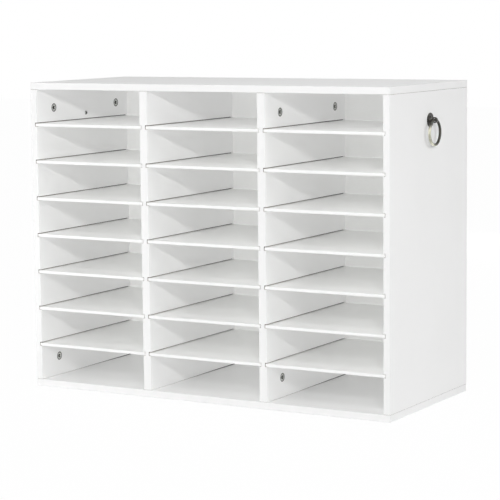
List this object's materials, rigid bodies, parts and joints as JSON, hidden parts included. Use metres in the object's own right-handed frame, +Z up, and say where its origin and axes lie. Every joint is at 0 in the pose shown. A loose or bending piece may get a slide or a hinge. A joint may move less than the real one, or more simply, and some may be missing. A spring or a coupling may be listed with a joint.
{
  "type": "pigeonhole mail sorter",
  "caption": "White pigeonhole mail sorter: a board case with dividers, loose shelves in grooves, a thin recessed back, cam-lock joints and a ring pull on each side.",
  "frame": {"origin": "middle of the case's footprint, on the surface it stands on", "axes": "+X along the width to the right as seen from the front, +Y from the open front to the back, +Z up"},
  "size_m": [0.7274, 0.3, 0.539],
  "materials": {
    "white_board": "white melamine-faced board with white edge band, satin",
    "shelf_board": "thin white faced board, satin",
    "back_sheet": "thin white faced fibreboard sheet, matt",
    "cam_zinc": "die-cast zinc, bare, dull",
    "bolt_steel": "zinc-plated steel",
    "dowel_beech": "plain beech",
    "antique_nickel_dark": "antique nickel, darkened",
    "antique_nickel": "antique nickel, worn bright on the high spots",
    "screw_steel": "dark plated steel"
  },
  "bodies": {
    "case": {"top_panel": "white_board", "bottom_panel": "white_board", "left_side_panel": "white_board", "left_divider": "white_board", "right_divider": "white_board", "right_side_panel": "white_board", "back_panel": "back_sheet", "left_side_cam_locks": "cam_zinc", "left_divider_cam_locks": "cam_zinc", "right_divider_cam_locks": "cam_zinc", "right_side_cam_locks": "cam_zinc", "left_side_cam_bolts": "bolt_steel", "left_divider_cam_bolts": "bolt_steel", "right_divider_cam_bolts": "bolt_steel", "right_side_cam_bolts": "bolt_steel", "left_side_dowels": "dowel_beech", "left_divider_dowels": "dowel_beech", "right_divider_dowels": "dowel_beech", "right_side_dowels": "dowel_beech", "left_pull_rosette": "antique_nickel_dark", "right_pull_rosette": "antique_nickel_dark", "left_pull_post": "antique_nickel_dark", "right_pull_post": "antique_nickel_dark", "left_pull_screw": "screw_steel", "right_pull_screw": "screw_steel"},
    "left_shelf_1": {"left_shelf_1": "shelf_board"},
    "left_shelf_2": {"left_shelf_2": "shelf_board"},
    "left_shelf_3": {"left_shelf_3": "shelf_board"},
    "left_shelf_4": {"left_shelf_4": "shelf_board"},
    "left_shelf_5": {"left_shelf_5": "shelf_board"},
    "left_shelf_6": {"left_shelf_6": "shelf_board"},
    "left_shelf_7": {"left_shelf_7": "shelf_board"},
    "middle_shelf_1": {"middle_shelf_1": "shelf_board"},
    "middle_shelf_2": {"middle_shelf_2": "shelf_board"},
    "middle_shelf_3": {"middle_shelf_3": "shelf_board"},
    "middle_shelf_4": {"middle_shelf_4": "shelf_board"},
    "middle_shelf_5": {"middle_shelf_5": "shelf_board"},
    "middle_shelf_6": {"middle_shelf_6": "shelf_board"},
    "middle_shelf_7": {"middle_shelf_7": "shelf_board"},
    "right_shelf_1": {"right_shelf_1": "shelf_board"},
    "right_shelf_2": {"right_shelf_2": "shelf_board"},
    "right_shelf_3": {"right_shelf_3": "shelf_board"},
    "right_shelf_4": {"right_shelf_4": "shelf_board"},
    "right_shelf_5": {"right_shelf_5": "shelf_board"},
    "right_shelf_6": {"right_shelf_6": "shelf_board"},
    "right_shelf_7": {"right_shelf_7": "shelf_board"},
    "left_pull_ring": {"left_pull_ring": "antique_nickel"},
    "right_pull_ring": {"right_pull_ring": "antique_nickel"}
  },
  "joints": [
    {"name": "left_shelf_1_slide", "type": "slide", "parent": "case", "child": "left_shelf_1", "axis": [0, -1, 0], "range_m": [0, 0.284]},
    {"name": "left_shelf_2_slide", "type": "slide", "parent": "case", "child": "left_shelf_2", "axis": [0, -1, 0], "range_m": [0, 0.284]},
    {"name": "left_shelf_3_slide", "type": "slide", "parent": "case", "child": "left_shelf_3", "axis": [0, -1, 0], "range_m": [0, 0.284]},
    {"name": "left_shelf_4_slide", "type": "slide", "parent": "case", "child": "left_shelf_4", "axis": [0, -1, 0], "range_m": [0, 0.284]},
    {"name": "left_shelf_5_slide", "type": "slide", "parent": "case", "child": "left_shelf_5", "axis": [0, -1, 0], "range_m": [0, 0.284]},
    {"name": "left_shelf_6_slide", "type": "slide", "parent": "case", "child": "left_shelf_6", "axis": [0, -1, 0], "range_m": [0, 0.284]},
    {"name": "left_shelf_7_slide", "type": "slide", "parent": "case", "child": "left_shelf_7", "axis": [0, -1, 0], "range_m": [0, 0.284]},
    {"name": "middle_shelf_1_slide", "type": "slide", "parent": "case", "child": "middle_shelf_1", "axis": [0, -1, 0], "range_m": [0, 0.284]},
    {"name": "middle_shelf_2_slide", "type": "slide", "parent": "case", "child": "middle_shelf_2", "axis": [0, -1, 0], "range_m": [0, 0.284]},
    {"name": "middle_shelf_3_slide", "type": "slide", "parent": "case", "child": "middle_shelf_3", "axis": [0, -1, 0], "range_m": [0, 0.284]},
    {"name": "middle_shelf_4_slide", "type": "slide", "parent": "case", "child": "middle_shelf_4", "axis": [0, -1, 0], "range_m": [0, 0.284]},
    {"name": "middle_shelf_5_slide", "type": "slide", "parent": "case", "child": "middle_shelf_5", "axis": [0, -1, 0], "range_m": [0, 0.284]},
    {"name": "middle_shelf_6_slide", "type": "slide", "parent": "case", "child": "middle_shelf_6", "axis": [0, -1, 0], "range_m": [0, 0.284]},
    {"name": "middle_shelf_7_slide", "type": "slide", "parent": "case", "child": "middle_shelf_7", "axis": [0, -1, 0], "range_m": [0, 0.284]},
    {"name": "right_shelf_1_slide", "type": "slide", "parent": "case", "child": "right_shelf_1", "axis": [0, -1, 0], "range_m": [0, 0.284]},
    {"name": "right_shelf_2_slide", "type": "slide", "parent": "case", "child": "right_shelf_2", "axis": [0, -1, 0], "range_m": [0, 0.284]},
    {"name": "right_shelf_3_slide", "type": "slide", "parent": "case", "child": "right_shelf_3", "axis": [0, -1, 0], "range_m": [0, 0.284]},
    {"name": "right_shelf_4_slide", "type": "slide", "parent": "case", "child": "right_shelf_4", "axis": [0, -1, 0], "range_m": [0, 0.284]},
    {"name": "right_shelf_5_slide", "type": "slide", "parent": "case", "child": "right_shelf_5", "axis": [0, -1, 0], "range_m": [0, 0.284]},
    {"name": "right_shelf_6_slide", "type": "slide", "parent": "case", "child": "right_shelf_6", "axis": [0, -1, 0], "range_m": [0, 0.284]},
    {"name": "right_shelf_7_slide", "type": "slide", "parent": "case", "child": "right_shelf_7", "axis": [0, -1, 0], "range_m": [0, 0.284]},
    {"name": "left_ring_swing", "type": "hinge", "parent": "case", "child": "left_pull_ring", "pos_m": [-0.35875, 0, 0.479], "axis": [0, 1, 0], "range_deg": [-8.5, 188.5]},
    {"name": "right_ring_swing", "type": "hinge", "parent": "case", "child": "right_pull_ring", "pos_m": [0.35875, 0, 0.479], "axis": [0, -1, 0], "range_deg": [-8.5, 188.5]}
  ]
}
